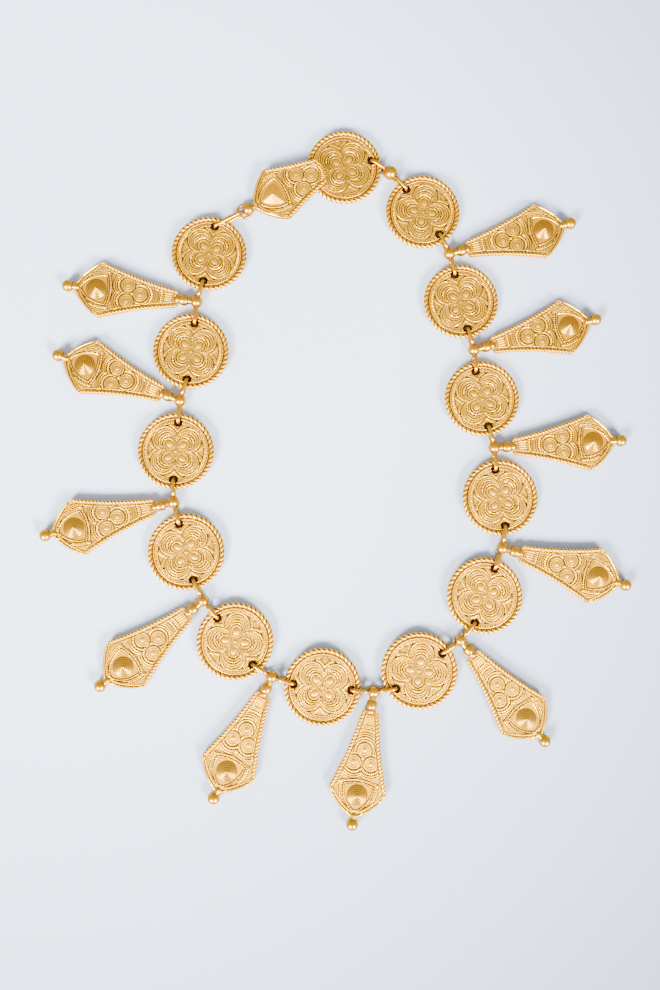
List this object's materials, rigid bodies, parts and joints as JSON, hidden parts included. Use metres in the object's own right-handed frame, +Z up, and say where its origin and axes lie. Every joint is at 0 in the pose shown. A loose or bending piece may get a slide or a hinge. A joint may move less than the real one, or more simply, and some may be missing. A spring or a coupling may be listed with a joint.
{
  "type": "collar necklace",
  "caption": "Collar necklace of round cast medallions linked by balls with wire loops, with kite-shaped drops and a kite-shaped clasp plate.",
  "frame": {"origin": "under the middle of the outer box, on the surface that the necklace lies on", "axes": "+Z up, out of the front of the medallions; +Y towards the clasp; +X to the right, seen from above with the clasp at the top"},
  "size_m": [0.2084, 0.2484, 0.0052],
  "materials": {
    "cast_gold": "satin gold plate on a cast, finely granulated face",
    "smooth_gold": "satin gold plate on smooth balls and wire"
  },
  "bodies": {
    "root": {"clasp_medallion": "cast_gold", "medallion_01": "cast_gold", "medallion_02": "cast_gold", "medallion_03": "cast_gold", "medallion_04": "cast_gold", "medallion_05": "cast_gold", "medallion_06": "cast_gold", "medallion_07": "cast_gold", "medallion_08": "cast_gold", "medallion_09": "cast_gold", "medallion_10": "cast_gold", "medallion_11": "cast_gold", "medallion_12": "cast_gold", "drop_01": "cast_gold", "drop_02": "cast_gold", "drop_03": "cast_gold", "drop_04": "cast_gold", "drop_05": "cast_gold", "drop_06": "cast_gold", "drop_07": "cast_gold", "drop_08": "cast_gold", "drop_09": "cast_gold", "drop_10": "cast_gold", "drop_11": "cast_gold", "clasp_plate": "cast_gold", "link_bead": "smooth_gold", "end_link": "smooth_gold"}
  },
  "joints": []
}
